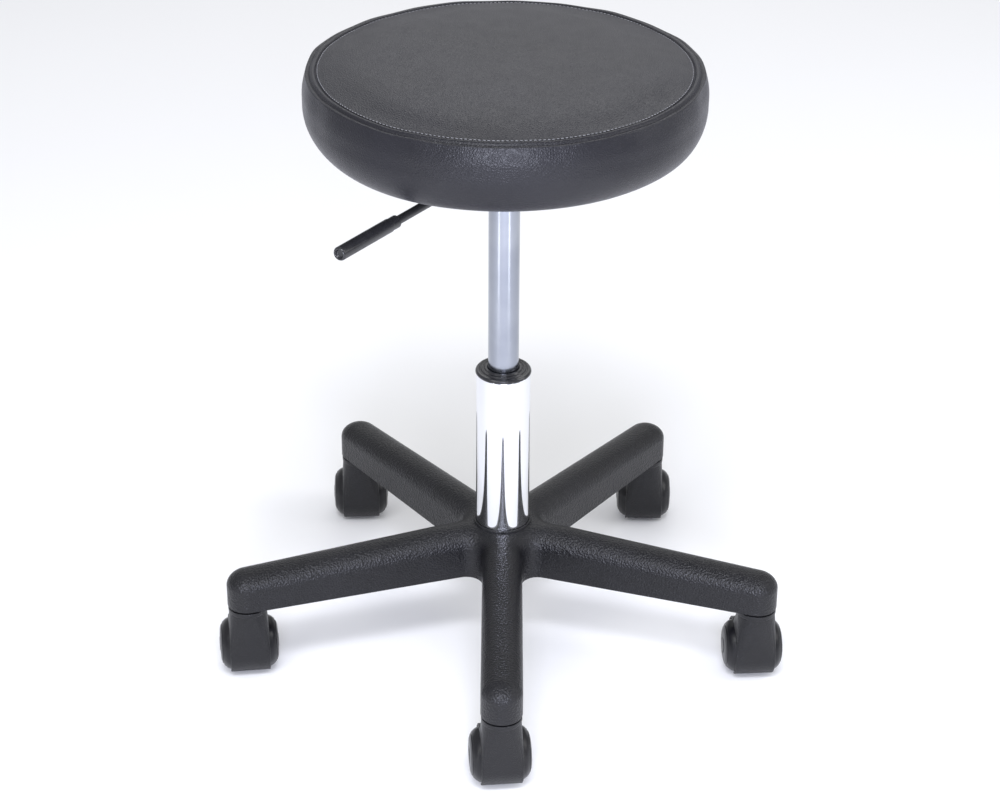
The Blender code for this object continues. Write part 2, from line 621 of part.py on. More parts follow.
# ---------------------------------------------------------------- the whole stool
def make_stool():
    column = axis_empty("column_axis", (0, AXIS_Y, 0))
    rod = axis_empty("rod_axis", (0, 0, 0), parent=column)
    seat = axis_empty("lift_axis", (0, 0, 0), parent=rod)
    mechanism = axis_empty("mechanism_axis", (0, 0, 0), LEVER_DIR, seat)
    lever = axis_empty("lever_axis", (LEVER_PIVOT, 0, LEVER_Z), parent=mechanism)
    make_star_base(column)
    make_outer_tube(column)
    make_guide_bush(column)
    make_bearing(column, rod)
    make_piston_rod(rod)
    make_gas_cylinder(seat)
    make_valve_pin(seat)
    make_seat_cover(mechanism)
    make_foam(mechanism)
    make_board(mechanism)
    make_dust_cloth(mechanism)
    make_seat_plate(mechanism)
    make_taper_socket(mechanism)
    make_lever_bracket(mechanism)
    make_fasteners(mechanism)
    make_lever(lever)
    for number, yaw in enumerate(CASTER_YAW, 1):
        make_caster(number, column, yaw)


make_stool()
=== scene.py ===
"""Looks of the adjustable swivel stool: its cushion, column, lever, base, casters and materials.

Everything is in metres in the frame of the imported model, with +Z up and the floor at z = 0.
"""
import json
import math
import random

import bmesh
import bpy
import numpy as np
from mathutils import Matrix, Vector
from mathutils.bvhtree import BVHTree


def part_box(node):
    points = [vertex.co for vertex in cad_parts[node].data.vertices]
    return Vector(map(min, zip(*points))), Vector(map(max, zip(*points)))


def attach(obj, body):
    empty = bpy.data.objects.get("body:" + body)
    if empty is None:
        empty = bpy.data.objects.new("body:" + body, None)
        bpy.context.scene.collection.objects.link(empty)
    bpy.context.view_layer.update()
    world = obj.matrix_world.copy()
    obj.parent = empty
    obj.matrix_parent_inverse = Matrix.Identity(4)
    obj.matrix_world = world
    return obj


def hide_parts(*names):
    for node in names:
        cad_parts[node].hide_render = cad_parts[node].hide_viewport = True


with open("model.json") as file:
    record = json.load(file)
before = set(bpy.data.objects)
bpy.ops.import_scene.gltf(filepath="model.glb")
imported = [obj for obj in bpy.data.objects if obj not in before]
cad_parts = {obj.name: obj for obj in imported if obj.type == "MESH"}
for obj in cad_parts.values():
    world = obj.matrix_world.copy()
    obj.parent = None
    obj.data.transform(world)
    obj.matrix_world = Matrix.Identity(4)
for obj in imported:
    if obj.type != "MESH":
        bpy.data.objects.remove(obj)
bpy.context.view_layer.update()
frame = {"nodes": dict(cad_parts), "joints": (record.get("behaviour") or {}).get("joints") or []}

JOINTS = {joint["name"]: joint for joint in frame["joints"]}
random.seed(7)

# ---------------------------------------------------------------- sizes, from the frame
TUBE_LOW, TUBE_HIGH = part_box("outer_tube")
LIFT_LOW, LIFT_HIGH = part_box("gas_cylinder")
BUSH_LOW, BUSH_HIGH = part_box("guide_bush")
BAND_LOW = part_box("seat_cover_band")[0]
SOCKET_LOW, SOCKET_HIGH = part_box("taper_socket")
STAR_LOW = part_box("star_base")[0]
AXIS = Matrix.Translation(((TUBE_LOW.x + TUBE_HIGH.x) / 2, (TUBE_LOW.y + TUBE_HIGH.y) / 2, 0))
TUBE_R = (TUBE_HIGH.x - TUBE_LOW.x) / 2
LIFT_R = (LIFT_HIGH.x - LIFT_LOW.x) / 2

ARMS = 5
ARM_STEP = math.tau / ARMS
FRONT = math.radians(270)
PIVOT_R = (Vector(JOINTS["caster_swivel_1"]["pos_m"]) - AXIS.translation).xy.length
GAP = 0.0003                     # clearance between a part and the hole it sits in

# base
ARM_HALF = 0.0185                # half the width of an arm
ARM_BOTTOM = 0.076
HUB_TOP = 0.1225                 # crest of the arms at the hub
TIP_TOP = 0.110                  # crest of the arms at their ends
ARM_ROUND = 0.0180               # rounding of the upper edges
ARM_EASE = 0.0012                # rounding of the lower edges
CROTCH_FILLET = 0.015            # rounding between two arms
SLOPE_START = 0.060              # distance from the column where an arm starts to fall
STEM_HOLE_R = 0.0058
STEM_HOLE_TOP = 0.1002

# casters, in their own frame: the pivot is the Z axis and the axle runs along X
WHEEL_R = 0.0250
WHEEL_IN, WHEEL_OUT = 0.0066, 0.0280
AXLE_HOLE_R = 0.0033
TRAIL = 0.0120                   # how far the axle lies behind the pivot
HOOD_R, HOOD_HALF, HOOD_BOTTOM = 0.0272, 0.0185, 0.0042
WELL_R, WELL_IN = 0.0257, 0.0060     # room for the wheels in the hood
NECK_R, NECK_TOP = 0.0180, 0.0745
NECK_LOW, NECK_HIGH = 0.0460, 0.0700    # the part of the neck that the hood's front runs into

# column and lever
TAPER_LOW = 0.442                # the cylinder is tapered above this height
TAPER_TOP_R = 0.0134
ROD_R, GRIP_R = 0.00375, 0.0060
GRIP_START, GRIP_END = 0.128, 0.206
ROD_IN_GRIP = 0.070
ROD_TAIL = -0.034                # the rod's inner end, from the lever's pivot

# cushion
SEAT_R = 0.1752
SEAM_R, SEAM_Z = 0.1722, 0.5750
CROWN_Z = 0.5810
BULGE_DROP = 0.018               # the side reaches its widest place this far below the seam
SEAT_BOTTOM = BAND_LOW.z
UNDER_ROUND = 0.040              # rounding where the side turns under the seat
CREASE_SHARE = 0.5               # share of the cloth's creases that the stretched leather keeps
HELD_REACH = 0.016               # how far from the seam the cushion is held in shape
START_INSET = 0.003              # the cushion is blown up from a form this much smaller
STITCH_DROP = 0.0062             # second row of stitches, below the seam
RIM_STITCH = 0.0015              # first row, just inside the seam
STITCH_PITCH = 0.0040
HELD_HEIGHT, BOARD_R = 0.010, 0.150     # the board holds the underside within these
CORE_R, CORE_Z = 0.128, 0.5430   # ring inside the cushion that its rim is measured from

ALONG_X = Matrix.Rotation(math.pi / 2, 4, "Y")


# ---------------------------------------------------------------- materials
def new_material(name, color, roughness, metallic=0.0):
    """A Principled material, with its colour and roughness ready to be driven by nodes."""
    made = bpy.data.materials.new(name)
    made.use_nodes = True
    tree = made.node_tree
    shader = tree.nodes["Principled BSDF"]
    shader.inputs["Base Color"].default_value = (*color, 1.0)
    shader.inputs["Roughness"].default_value = roughness
    shader.inputs["Metallic"].default_value = metallic
    return made, tree, shader


def node(tree, kind, **inputs):
    made = tree.nodes.new(kind)
    for name, value in inputs.items():
        made.inputs[name.replace("_", " ")].default_value = value
    return made


def coordinates(tree, scale=(1.0, 1.0, 1.0), shift=(0.0, 0.0, 0.0)):
    """Object coordinates, in metres, so that a texture stays put when its piece moves."""
    place = tree.nodes.new("ShaderNodeTexCoord")
    mapping = tree.nodes.new("ShaderNodeMapping")
    mapping.inputs["Scale"].default_value = scale
    mapping.inputs["Location"].default_value = shift
    tree.links.new(place.outputs["Object"], mapping.inputs["Vector"])
    return mapping.outputs["Vector"]


def noise(tree, vector, scale, detail=3.0, roughness=0.55):
    made = node(tree, "ShaderNodeTexNoise", Scale=scale, Detail=detail, Roughness=roughness)
    tree.links.new(vector, made.inputs["Vector"])
    return made.outputs["Fac"]


def cells(tree, vector, scale, feature="F1"):
    made = node(tree, "ShaderNodeTexVoronoi", Scale=scale)
    made.feature = feature
    tree.links.new(vector, made.inputs["Vector"])
    return made.outputs["Distance"]


def tint(tree, shader, value, low, high):
    """Colours the shader between two colours, over the middle of a value's range."""
    made = tree.nodes.new("ShaderNodeValToRGB")
    made.color_ramp.elements[0].position = 0.3
    made.color_ramp.elements[1].position = 0.7
    made.color_ramp.elements[0].color = (*low, 1.0)
    made.color_ramp.elements[1].color = (*high, 1.0)
    tree.links.new(value, made.inputs["Fac"])
    tree.links.new(made.outputs["Color"], shader.inputs["Base Color"])


def polish(tree, shader, value, low, high):
    """Varies the shader's roughness between two levels."""
    made = tree.nodes.new("ShaderNodeMapRange")
    made.inputs["To Min"].default_value = low
    made.inputs["To Max"].default_value = high
    tree.links.new(value, made.inputs["Value"])
    tree.links.new(made.outputs["Result"], shader.inputs["Roughness"])


def add_bumps(tree, shader, layers):
    """Chains (height, strength, distance) layers of relief into the shader's normal."""
    normal = None
    for height, strength, distance in layers:
        bump = node(tree, "ShaderNodeBump", Strength=strength, Distance=distance)
        tree.links.new(height, bump.inputs["Height"])
        if normal:
            tree.links.new(normal, bump.inputs["Normal"])
        normal = bump.outputs["Normal"]
    tree.links.new(normal, shader.inputs["Normal"])


def leather_material():
    """Black faux leather: fine creased cells, a soft satin face and slight unevenness."""
    made, tree, shader = new_material("black_faux_leather", (0.03, 0.03, 0.034), 0.42)
    place = coordinates(tree)
    tint(tree, shader, noise(tree, place, 9.0, 4.0),
         (0.0070, 0.0070, 0.0100), (0.0120, 0.0120, 0.0165))
    shader.inputs["Specular IOR Level"].default_value = 0.34
    polish(tree, shader, noise(tree, place, 60.0, 5.0), 0.30, 0.44)
    add_bumps(tree, shader, [
        (noise(tree, place, 45.0, 2.0), 0.10, 0.0012),
        (cells(tree, place, 480.0, "DISTANCE_TO_EDGE"), 0.70, 0.00060),
        (noise(tree, place, 1500.0, 2.0), 0.20, 0.00015)])
    shader.inputs["Sheen Weight"].default_value = 0.04
    shader.inputs["Sheen Roughness"].default_value = 0.4
    shader.inputs["Sheen Tint"].default_value = (0.75, 0.75, 1.0, 1.0)
    return made


def nylon_material(name, color, grain, strength, roughness):
    """Moulded black nylon with a pebbled face, worn a little smoother in patches."""
    made, tree, shader = new_material(name, color, roughness)
    shader.inputs["Specular IOR Level"].default_value = 0.36
    place = coordinates(tree)
    light = tuple(c * 1.5 for c in color)
    tint(tree, shader, noise(tree, place, 30.0, 5.0), color, light)
    polish(tree, shader, noise(tree, place, 25.0, 4.0), roughness - 0.07, roughness + 0.08)
    add_bumps(tree, shader, [
        (cells(tree, place, grain), strength, 0.0006),
        (noise(tree, place, grain * 1.7, 3.0), strength * 0.6, 0.0003)])
    return made


def gloss_plastic_material():
    made, tree, shader = new_material("black_gloss_plastic", (0.012, 0.012, 0.014), 0.22)
    place = coordinates(tree)
    tint(tree, shader, noise(tree, place, 40.0), (0.010, 0.010, 0.012), (0.020, 0.020, 0.023))
    polish(tree, shader, noise(tree, place, 120.0, 4.0), 0.14, 0.32)
    add_bumps(tree, shader, [(noise(tree, place, 500.0), 0.10, 0.0002)])
    return made


def chrome_material():
    """Polished chrome with faint wipe marks."""
    made, tree, shader = new_material("polished_chrome", (0.90, 0.91, 0.93), 0.04, 1.0)
    place = coordinates(tree, (1.0, 1.0, 0.25))
    tint(tree, shader, noise(tree, place, 14.0), (0.72, 0.73, 0.77), (0.80, 0.81, 0.84))
    polish(tree, shader, noise(tree, place, 80.0, 5.0), 0.02, 0.07)
    add_bumps(tree, shader, [(noise(tree, place, 300.0, 2.0), 0.02, 0.0001)])
    return made


def ground_chrome_material():
    """Ground and chromed rod, with fine turning lines round it."""
    made, tree, shader = new_material("ground_chrome", (0.62, 0.64, 0.68), 0.2, 1.0)
    lines = coordinates(tree, (4.0, 4.0, 3000.0))
    place = coordinates(tree)
    tint(tree, shader, noise(tree, place, 20.0), (0.28, 0.30, 0.35), (0.36, 0.38, 0.43))
    polish(tree, shader, noise(tree, lines, 1.0, 3.0), 0.14, 0.28)
    add_bumps(tree, shader, [(noise(tree, lines, 1.0, 2.0), 0.05, 0.00008)])
    shader.inputs["Anisotropic"].default_value = 0.35
    return made


def steel_material():
    """Bright zinc-plated steel, mottled and finely brushed."""
    made, tree, shader = new_material("plated_steel", (0.55, 0.55, 0.56), 0.34, 1.0)
    lines = coordinates(tree, (900.0, 60.0, 60.0))
    place = coordinates(tree)
    tint(tree, shader, noise(tree, place, 180.0, 4.0), (0.46, 0.46, 0.47), (0.62, 0.62, 0.60))
    polish(tree, shader, noise(tree, lines, 1.0, 3.0), 0.24, 0.44)
    add_bumps(tree, shader, [(noise(tree, lines, 1.0, 2.0), 0.08, 0.0001)])
    return made


def powder_coat_material():
    """Black powder coat with a light orange-peel face."""
    made, tree, shader = new_material("black_powder_coat", (0.016, 0.016, 0.018), 0.38)
    place = coordinates(tree)
    tint(tree, shader, noise(tree, place, 60.0), (0.013, 0.013, 0.015), (0.026, 0.026, 0.028))
    polish(tree, shader, noise(tree, place, 200.0, 4.0), 0.28, 0.46)
    add_bumps(tree, shader, [(noise(tree, place, 700.0, 2.0), 0.22, 0.0003)])
    return made


def rubber_material():
    made, tree, shader = new_material("black_rubber", (0.016, 0.016, 0.016), 0.8)
    place = coordinates(tree)
    tint(tree, shader, noise(tree, place, 90.0), (0.012, 0.012, 0.012), (0.028, 0.027, 0.026))
    polish(tree, shader, noise(tree, place, 150.0), 0.7, 0.9)
    add_bumps(tree, shader, [(noise(tree, place, 900.0), 0.3, 0.0003)])
    return made


def plywood_material():
    """Plywood whose plies show as bands up its edge and whose faces have a long grain."""
    made, tree, shader = new_material("plywood", (0.45, 0.30, 0.16), 0.65)
    grain = coordinates(tree, (30.0, 3.0, 900.0))
    fac = noise(tree, grain, 2.0, 6.0, 0.6)
    tint(tree, shader, fac, (0.32, 0.19, 0.09), (0.56, 0.40, 0.23))
    polish(tree, shader, fac, 0.55, 0.8)
    add_bumps(tree, shader, [(fac, 0.25, 0.0004)])
    return made


def dust_cloth_material():
    """Thin black non-woven cloth: a felt of fine fibres with a dotted bond pattern."""
    made, tree, shader = new_material("black_dust_cloth", (0.022, 0.022, 0.022), 0.95)
    place = coordinates(tree)
    tint(tree, shader, noise(tree, place, 900.0, 5.0),
         (0.012, 0.012, 0.013), (0.040, 0.040, 0.041))
    polish(tree, shader, noise(tree, place, 500.0), 0.85, 1.0)
    add_bumps(tree, shader, [
        (cells(tree, place, 480.0), 0.5, 0.0004),
        (noise(tree, place, 1600.0, 4.0), 0.4, 0.0002)])
    return made


def foam_material():
    made, tree, shader = new_material("cut_foam", (0.75, 0.70, 0.55), 0.9)
    place = coordinates(tree)
    tint(tree, shader, noise(tree, place, 70.0), (0.66, 0.60, 0.44), (0.80, 0.75, 0.60))
    polish(tree, shader, noise(tree, place, 300.0), 0.85, 1.0)
    add_bumps(tree, shader, [(cells(tree, place, 900.0), 0.6, 0.0005)])
    return made


def thread_material(name, low, high):
    """Twisted sewing thread."""
    made, tree, shader = new_material(name, low, 0.55)
    place = coordinates(tree)
    tint(tree, shader, noise(tree, place, 700.0), low, high)
    polish(tree, shader, noise(tree, place, 900.0), 0.45, 0.7)
    add_bumps(tree, shader, [(noise(tree, place, 2500.0), 0.4, 0.0002)])
    return made


def floor_material():
    """Pale studio floor, very slightly uneven in tone."""
    made, tree, shader = new_material("studio_floor", (0.93, 0.93, 0.94), 0.7)
    place = coordinates(tree)
    tint(tree, shader, noise(tree, place, 0.8), (0.925, 0.925, 0.93), (0.95, 0.95, 0.955))
    shader.inputs["Specular IOR Level"].default_value = 0.15
    return made


LEATHER = leather_material()
BASE_NYLON = nylon_material("pebbled_nylon", (0.0040, 0.0040, 0.0055), 540.0, 0.95, 0.36)
CASTER_NYLON = nylon_material("caster_nylon", (0.0045, 0.0045, 0.0058), 900.0, 0.50, 0.38)
WHEEL_NYLON = nylon_material("wheel_nylon", (0.0045, 0.0045, 0.0058), 600.0, 0.10, 0.32)
GLOSS = gloss_plastic_material()
CHROME = chrome_material()
GROUND = ground_chrome_material()
STEEL = steel_material()
POWDER = powder_coat_material()
RUBBER = rubber_material()
# The rim thread's light grey is a painted highlight on the rim stitches, not the thread's own
# colour.
RIM_THREAD_PAINTED_HIGHLIGHT = thread_material("rim_thread_painted_highlight", (0.20, 0.20, 0.22), (0.36, 0.36, 0.38))
DARK_THREAD = thread_material("black_thread", (0.010, 0.010, 0.012), (0.030, 0.030, 0.034))


# ---------------------------------------------------------------- mesh helpers
def linked(name, data):
    """A new object in the scene."""
    obj = bpy.data.objects.new(name, data)
    bpy.context.scene.collection.objects.link(obj)
    return obj


def mesh_from(bm, name):
    """Turns a bmesh into a mesh and frees it."""
    mesh = bpy.data.meshes.new(name)
    bm.to_mesh(mesh)
    bm.free()
    return mesh


def evaluated(obj):
    """A mesh of an object with its modifiers applied."""
    graph = bpy.context.evaluated_depsgraph_get()
    return bpy.data.meshes.new_from_object(obj.evaluated_get(graph))


def show(name, mesh, material, body, slot, *nodes):
    """Links a mesh as a piece that rides on a body and stands for some CAD nodes."""
    obj = linked(name, mesh)
    mesh.materials.clear()
    mesh.materials.append(material)
    mesh.shade_smooth()
    mesh.set_sharp_from_angle(angle=math.radians(40))
    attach(obj, body)
    if nodes:
        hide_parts(*nodes)
    return obj


def rounded(corners, steps=5, ring=True):
    """Points of an outline through (radius, height, rounding) corners, each corner rounded off."""
    outline = []
    count = len(corners)
    for i, (r, z, rounding) in enumerate(corners):
        here = Vector((r, z))
        if not rounding or (not ring and i in (0, count - 1)):
            outline.append(here)
            continue
        before = Vector(corners[i - 1][:2]) - here
        after = Vector(corners[(i + 1) % count][:2]) - here
        start = here + before.normalized() * min(rounding, before.length * 0.49)
        end = here + after.normalized() * min(rounding, after.length * 0.49)
        for k in range(steps + 1):
            t = k / steps
            outline.append((1 - t) ** 2 * start + 2 * t * (1 - t) * here + t * t * end)
    return outline


def lathe(outline, sides=96, place=Matrix.Identity(4), ring=True):
    """A mesh turned round Z from an outline of (radius, height), then placed."""
    bm = bmesh.new()
    verts = [bm.verts.new((r, 0.0, z)) for r, z in outline]
    edges = [bm.edges.new(pair) for pair in zip(verts, verts[1:])]
    if ring:
        edges.append(bm.edges.new((verts[-1], verts[0])))
    bmesh.ops.spin(bm, geom=verts + edges, cent=(0, 0, 0), axis=(0, 0, 1), angle=math.tau,
                   steps=sides, use_merge=True)
    bmesh.ops.remove_doubles(bm, verts=bm.verts, dist=0.000002)
    bmesh.ops.recalc_face_normals(bm, faces=bm.faces)
    bm.transform(place)
    return mesh_from(bm, "turned")


def box_mesh(low, high, place=Matrix.Identity(4)):
    bm = bmesh.new()
    size, middle = Vector(high) - Vector(low), (Vector(high) + Vector(low)) / 2
    matrix = place @ Matrix.Translation(middle) @ Matrix.Diagonal((*size, 1.0))
    bmesh.ops.create_cube(bm, size=1.0, matrix=matrix)
    return mesh_from(bm, "box")


def drum_mesh(radius, low, high, place=Matrix.Identity(4), sides=96):
    return lathe([(0, high), (radius, high), (radius, low), (0, low)], sides, place, ring=False)


def combined(mesh, steps):
    """Applies (operation, meshes) steps to a mesh with exact Booleans and returns the result."""
    obj = linked("work", mesh)
    helpers = []
    for operation, tools in steps:
        for tool in tools:
            helper = linked("tool", tool)
            helpers.append(helper)
            boolean = obj.modifiers.new(operation, "BOOLEAN")
            boolean.operation = operation
            boolean.solver = "EXACT"
            boolean.object = helper
    bpy.context.view_layer.update()
    made = evaluated(obj)
    for helper in [obj, *helpers]:
        bpy.data.objects.remove(helper)
    return made


# ---------------------------------------------------------------- cushion
def seat_outline(inset=0.0):
    """Outline of the cushion: a low crown, a tight rim, an upright side and a round underside."""
    points = []
    steps, flatness = 24, 3.2
    for i in range(steps + 1):
        share = i / steps
        fall = (CROWN_Z - SEAM_Z) * share ** flatness
        points.append(((SEAM_R - inset) * share, CROWN_Z - inset - fall))
    for i in range(1, steps + 1):
        drop = (SEAM_Z - SEAT_BOTTOM - UNDER_ROUND) * i / steps
        bulge = (SEAT_R - SEAM_R) * math.sin(min(1.0, drop / BULGE_DROP) * math.pi / 2)
        points.append((SEAM_R - inset + bulge, SEAM_Z - inset - drop))
    for i in range(1, steps + 1):
        a = math.radians(-90 * i / steps)
        radius = UNDER_ROUND - inset
        points.append((SEAT_R - UNDER_ROUND + radius * math.cos(a),
                       SEAT_BOTTOM + UNDER_ROUND + radius * math.sin(a)))
    points.append((0.0, SEAT_BOTTOM + inset))
    return points


def puffed_seat(voxel=0.005, pressure=4.0, frames=20, cap=0.0050):
    """The cushion's form, and the same form blown up as cloth while the board holds its underside.

    No part of the cloth moves further than the cap.
    """
    mesh = lathe(seat_outline(START_INSET), 120, ring=False)
    obj = linked("cushion_form", mesh)
    remesh = obj.modifiers.new("Remesh", "REMESH")
    remesh.mode = "VOXEL"
    remesh.voxel_size = voxel
    bpy.context.view_layer.update()
    form = evaluated(obj)
    obj.modifiers.clear()
    obj.data = form
    before = np.array([v.co[:] for v in form.vertices])
    held = obj.vertex_groups.new(name="held")
    under = [v.index for v in form.vertices
             if v.co.z < SEAT_BOTTOM + HELD_HEIGHT and v.co.xy.length < BOARD_R]
    held.add(under, 1.0, "REPLACE")
    cloth = obj.modifiers.new("Cloth", "CLOTH")
    cloth.settings.use_pressure = True
    cloth.settings.uniform_pressure_force = pressure
    cloth.settings.vertex_group_mass = "held"
    cloth.settings.effector_weights.gravity = 0.0
    cloth.settings.tension_stiffness = 30
    cloth.settings.compression_stiffness = 30
    cloth.settings.quality = 6
    scene = bpy.context.scene
    for number in range(1, frames + 1):
        scene.frame_set(number)
    puffed = evaluated(obj)
    scene.frame_set(1)
    after = np.array([v.co[:] for v in puffed.vertices])
    move = after - before
    length = np.linalg.norm(move, axis=1, keepdims=True)
    after = before + move * np.minimum(1.0, cap / np.maximum(length, 1e-9))
    puffed.vertices.foreach_set("co", after.ravel())
    bpy.data.objects.remove(obj)
    return form, puffed


def seat_rays():
    """Origins and directions, in a half plane, that sweep the cushion from crown to underside.

    Upright rays reach the crown, then a fan turns about the core, finest round the rim.
    """
    rim = math.atan2(SEAM_Z - CORE_Z, SEAM_R - CORE_R)
    fine_start, fine_end = rim + 0.22, rim - 0.33
    upright = 56
    rays = [(CORE_R * (i / upright) ** 0.9, CORE_Z, math.pi / 2) for i in range(upright)]
    for start, end, steps in ((math.pi / 2, fine_start, 30), (fine_start, fine_end, 70),
                              (fine_end, -math.pi / 2, 60)):
        rays += [(CORE_R, CORE_Z, start + (end - start) * i / steps) for i in range(steps)]
    return rays + [(CORE_R, CORE_Z, -math.pi / 2)]


def surface_tree(mesh):
    bm = bmesh.new()
    bm.from_mesh(mesh)
    tree = BVHTree.FromBMesh(bm)
    bm.free()
    return tree


def reach(tree, around):
    """Distance from the cushion's core to a surface, for each ray and each angle."""
    rays = seat_rays()
    found = np.zeros((len(rays), around))
    for k in range(around):
        a = math.tau * k / around
        out = Vector((math.cos(a), math.sin(a), 0.0))
        for i, (r, z, lift) in enumerate(rays):
            direction = out * math.cos(lift) + Vector((0, 0, math.sin(lift)))
            distance = tree.ray_cast(out * r + Vector((0, 0, z)), direction)[3]
            found[i, k] = distance or found[i - 1, k]
    return found


def smoothed(grid, passes):
    """Evens out a grid along and across, leaving its first and last rows."""
    for _ in range(passes):
        grid = (np.roll(grid, 1, axis=1) + 2 * grid + np.roll(grid, -1, axis=1)) / 4
        grid[1:-1] = (grid[:-2] + 2 * grid[1:-1] + grid[2:]) / 4
    return grid


def cushion_grid(form, puffed, around):
    """Radius and height of the cushion's face: its sewn outline, swollen as the cloth swelled.

    The seam holds the rim in place, so the swelling fades out there. The leather is stretched, so
    only a share of the cloth's creases is kept, and the swelling is never less than the inset.
    """
    outline = reach(surface_tree(lathe(seat_outline(START_INSET), 180, ring=False)), 1)
    swell = reach(surface_tree(puffed), around) - reach(surface_tree(form), around)
    if form is puffed:
        swell += START_INSET
    mean = swell.mean(axis=1, keepdims=True)
    swell = smoothed((swell - mean) * CREASE_SHARE + np.maximum(mean, START_INSET), 200)
    r, z, lift = (np.array(column)[:, None] for column in zip(*seat_rays()))
    face_r = r + np.cos(lift) * (outline + START_INSET)
    face_z = z + np.sin(lift) * (outline + START_INSET)
    held = np.exp(-((face_r - SEAM_R) ** 2 + (face_z - SEAM_Z) ** 2) / HELD_REACH ** 2)
    distance = outline + swell * (1 - held) + START_INSET * held
    return np.stack([r + np.cos(lift) * distance, z + np.sin(lift) * distance], axis=2)


def nearest_row(grid, height):
    """Row of the grid that lies closest to a height on the cushion's side."""
    side = grid[:, :, 0].mean(axis=1) > SEAM_R - 0.012
    gap = np.abs(grid[:, :, 1].mean(axis=1) - height)
    gap[~side] = 1.0
    return int(gap.argmin())


def seat_normals(grid):
    """Outward normals of the grid's outline, in (radius, height)."""
    along = np.gradient(grid, axis=0)
    normal = np.stack([-along[:, :, 1], along[:, :, 0]], axis=2)
    return normal / np.maximum(np.linalg.norm(normal, axis=2, keepdims=True), 1e-9)


def sew(grid, around):
    """Presses the seam and the two rows of stitches into the cushion and adds slight puckers."""
    normal = seat_normals(grid)
    arc = np.linalg.norm(np.diff(grid.mean(axis=1), axis=0), axis=1)
    travel = np.concatenate([[0.0], np.cumsum(arc)])
    seam = travel[nearest_row(grid, SEAM_Z)]
    angle = np.arange(around) * math.tau / around
    count = round(math.tau * SEAM_R / STITCH_PITCH)
    pucker = 0.75 + 0.25 * np.cos(angle * count)
    wander = (np.sin(angle * 7 + 0.6) + 0.7 * np.sin(angle * 13 + 2.1)
              + 0.5 * np.sin(angle * 23 + 4.0))
    push = np.zeros(grid.shape[:2])
    seam_groove, stitch_groove = (0.0, 0.0015, 0.0007), (STITCH_DROP, 0.0014, 0.0010)
    for offset, depth, width in (seam_groove, stitch_groove):
        groove = depth * np.exp(-((travel - seam - offset) / width) ** 2)
        push -= groove[:, None] * (pucker[None, :] if offset else 1.0)
    roll_height, roll_width = 0.0012, 0.0022
    roll = roll_height * np.exp(-((travel - seam - STITCH_DROP / 2) / roll_width) ** 2)
    push += roll[:, None]
    slack_height, slack_drop, slack_width = 0.00045, 0.018, 0.020
    slack = slack_height * np.exp(-((travel - seam - slack_drop) / slack_width) ** 2)
    push += slack[:, None] * wander[None, :]
    return grid + normal * push[:, :, None], travel, seam


def grid_mesh(grid, around):
    """Closed mesh from the sewn grid, with a point at its crown and a cap under it."""
    rows = len(grid)
    angle = np.arange(around) * math.tau / around
    bm = bmesh.new()
    verts = []
    for i in range(1, rows):
        x, y = grid[i, :, 0] * np.cos(angle), grid[i, :, 0] * np.sin(angle)
        verts.append([bm.verts.new(point) for point in zip(x, y, grid[i, :, 1])])
    crown = bm.verts.new((0, 0, grid[1, :, 1].mean()))
    foot = bm.verts.new((0, 0, grid[-1, :, 1].mean() + 0.0012))
    for k in range(around):
        nxt = (k + 1) % around
        bm.faces.new((crown, verts[0][k], verts[0][nxt]))
        bm.faces.new((foot, verts[-1][nxt], verts[-1][k]))
        for upper, lower in zip(verts, verts[1:]):
            bm.faces.new((upper[k], lower[k], lower[nxt], upper[nxt]))
    bmesh.ops.recalc_face_normals(bm, faces=bm.faces)
    bm.transform(AXIS)
    return mesh_from(bm, "cushion")


def stitch_row(name, grid, around, travel, at, material, length, thick):
    """A row of separate stitches in their groove round the cushion, each a little askew."""
    lean, wobble = 0.10, 0.05
    row = int(np.abs(travel - at).argmin())
    normal = seat_normals(grid)
    count = round(math.tau * SEAM_R / STITCH_PITCH)
    bm = bmesh.new()
    for n in range(count):
        k = int(round(n * around / count)) % around
        a = math.tau * n / count
        r, z = grid[row, k]
        out_r, out_z = normal[row, k]
        across = Vector((math.cos(a) * out_r, math.sin(a) * out_r, out_z))
        forward = Vector((-math.sin(a), math.cos(a), 0))
        lift = forward.cross(across)
        tilt = Matrix.Rotation(lean + random.uniform(-wobble, wobble), 4, "Z")
        turn = Matrix((forward, lift, across)).transposed().to_4x4()
        size = Matrix.Diagonal((length * random.uniform(0.94, 1.04), thick, thick * 0.8, 1.0))
        middle = Vector((r * math.cos(a), r * math.sin(a), z)) + across * thick * 0.12
        bmesh.ops.create_icosphere(bm, subdivisions=2, radius=0.5,
                                   matrix=AXIS @ Matrix.Translation(middle) @ turn @ tilt @ size)
    mesh = mesh_from(bm, name)
    return show(name, mesh, material, "seat", "leather")


def make_cushion():
    around = 540
    form, puffed = puffed_seat()
    grid, travel, seam = sew(cushion_grid(form, puffed, around), around)
    cushion = show("cushion", grid_mesh(grid, around), LEATHER, "seat", "leather",
                   "seat_cover_top", "seat_cover_band", "foam_pad")
    cushion.data.set_sharp_from_angle(angle=math.pi)
    # The rim stitches use light grey thread as a painted highlight.
    stitch_row("rim_stitches", grid, around, travel, seam - RIM_STITCH, RIM_THREAD_PAINTED_HIGHLIGHT,
               length=0.0027, thick=0.00065)
    stitch_row("band_stitches", grid, around, travel, seam + STITCH_DROP, DARK_THREAD,
               length=0.0032, thick=0.0009)


# ---------------------------------------------------------------- base
def arm_top(r):
    """Height of an arm's crest at a distance from the column."""
    fall = (HUB_TOP - TIP_TOP) / (PIVOT_R + ARM_HALF - SLOPE_START)
    return HUB_TOP - fall * max(0.0, r - SLOPE_START)


